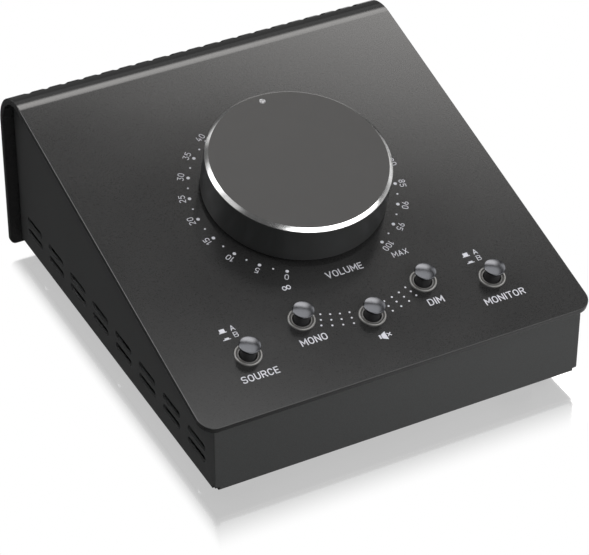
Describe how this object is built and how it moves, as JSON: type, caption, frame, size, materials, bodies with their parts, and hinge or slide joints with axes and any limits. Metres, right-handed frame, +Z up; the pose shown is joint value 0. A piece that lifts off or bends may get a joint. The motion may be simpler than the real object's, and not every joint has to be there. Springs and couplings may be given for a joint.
{
  "type": "studio monitor controller",
  "caption": "Desktop studio monitor controller: sloped metal case, large volume dial, push buttons in collars, side and rear vents, audio sockets behind.",
  "frame": {"origin": "middle of the footprint at the surface that the feet stand on", "axes": "+X to the right of the user, +Y to the rear with the sockets, +Z up; the panel slopes up towards +Y by 15 degrees"},
  "size_m": [0.13, 0.1492, 0.0709],
  "materials": {
    "panel_paint": "satin anthracite lacquer on steel sheet",
    "case_paint": "fine textured near-black powder coat on steel sheet",
    "base_paint": "black powder coat on steel sheet",
    "rubber": "matt black",
    "black_steel": "black oxide screws",
    "plated_steel": "nickel plated",
    "knob_aluminium": "black anodised, bare bright chamfer",
    "black_plastic": "moulded, matt",
    "socket_plastic": "moulded, semi-gloss",
    "plated_brass": "nickel plated brass",
    "tinned_brass": "tin plated",
    "resistor_track": "carbon track",
    "circuit_board": "green solder mask on glass laminate",
    "resistor_body": "blue-grey lacquer",
    "ribbon_grey": "grey insulation",
    "button_chrome": "satin chrome",
    "collar_steel": "turned, satin",
    "spring_steel": "drawn wire"
  },
  "bodies": {
    "case": {"top_cover": "panel_paint", "body_shell": "case_paint", "base_tray": "base_paint", "rubber_feet": "rubber", "base_screws": "black_steel", "rear_screws": "black_steel", "cover_studs": "plated_steel", "cover_nuts": "plated_steel", "pot_bush": "plated_brass", "pot_case": "black_plastic", "pot_element": "resistor_track", "pot_washer": "plated_steel", "pot_nut": "plated_steel", "board_pins": "tinned_brass", "main_board": "circuit_board", "board_standoffs": "plated_steel", "board_screws": "plated_steel", "dim_resistors": "resistor_body", "jack_contacts": "tinned_brass", "jack_washers": "plated_steel", "jack_nuts": "plated_steel", "jack_board": "circuit_board", "ribbon_headers": "black_plastic", "ribbon_cable": "ribbon_grey", "button_spring_source": "spring_steel", "button_collar_source": "collar_steel", "switch_body_source": "black_plastic", "button_spring_mono": "spring_steel", "button_collar_mono": "collar_steel", "switch_body_mono": "black_plastic", "button_spring_mute": "spring_steel", "button_collar_mute": "collar_steel", "switch_body_mute": "black_plastic", "button_spring_dim": "spring_steel", "button_collar_dim": "collar_steel", "switch_body_dim": "black_plastic", "button_spring_monitor": "spring_steel", "button_collar_monitor": "collar_steel", "switch_body_monitor": "black_plastic", "jack_monitor_a_left": "socket_plastic", "jack_monitor_a_right": "socket_plastic", "jack_monitor_b_left": "socket_plastic", "jack_monitor_b_right": "socket_plastic", "jack_source_a_left": "socket_plastic", "jack_source_a_right": "socket_plastic", "jack_source_b_left": "socket_plastic", "jack_source_b_right": "socket_plastic"},
    "volume_knob": {"knob_shell": "knob_aluminium", "knob_hub": "black_plastic", "pot_shaft": "plated_steel"},
    "button_source": {"button_cap_source": "button_chrome", "button_plunger_source": "black_plastic"},
    "button_mono": {"button_cap_mono": "button_chrome", "button_plunger_mono": "black_plastic"},
    "button_mute": {"button_cap_mute": "button_chrome", "button_plunger_mute": "black_plastic"},
    "button_dim": {"button_cap_dim": "button_chrome", "button_plunger_dim": "black_plastic"},
    "button_monitor": {"button_cap_monitor": "button_chrome", "button_plunger_monitor": "black_plastic"}
  },
  "joints": [
    {"name": "volume_turn", "type": "hinge", "parent": "case", "child": "volume_knob", "pos_m": [0, -0.00419, 0.04938], "axis": [0, 0.2588, -0.9659], "range_deg": [-150, 150]},
    {"name": "press_source", "type": "slide", "parent": "case", "child": "button_source", "axis": [0, 0.2588, -0.9659], "range_m": [0, 0.0025], "stiffness_N_per_m": 400, "springref_m": -0.001, "deforming": ["button_spring_source"]},
    {"name": "press_mono", "type": "slide", "parent": "case", "child": "button_mono", "axis": [0, 0.2588, -0.9659], "range_m": [0, 0.0025], "stiffness_N_per_m": 400, "springref_m": -0.001, "deforming": ["button_spring_mono"]},
    {"name": "press_mute", "type": "slide", "parent": "case", "child": "button_mute", "axis": [0, 0.2588, -0.9659], "range_m": [0, 0.0025], "stiffness_N_per_m": 400, "springref_m": -0.001, "deforming": ["button_spring_mute"]},
    {"name": "press_dim", "type": "slide", "parent": "case", "child": "button_dim", "axis": [0, 0.2588, -0.9659], "range_m": [0, 0.0025], "stiffness_N_per_m": 400, "springref_m": -0.001, "deforming": ["button_spring_dim"]},
    {"name": "press_monitor", "type": "slide", "parent": "case", "child": "button_monitor", "axis": [0, 0.2588, -0.9659], "range_m": [0, 0.0025], "stiffness_N_per_m": 400, "springref_m": -0.001, "deforming": ["button_spring_monitor"]}
  ]
}
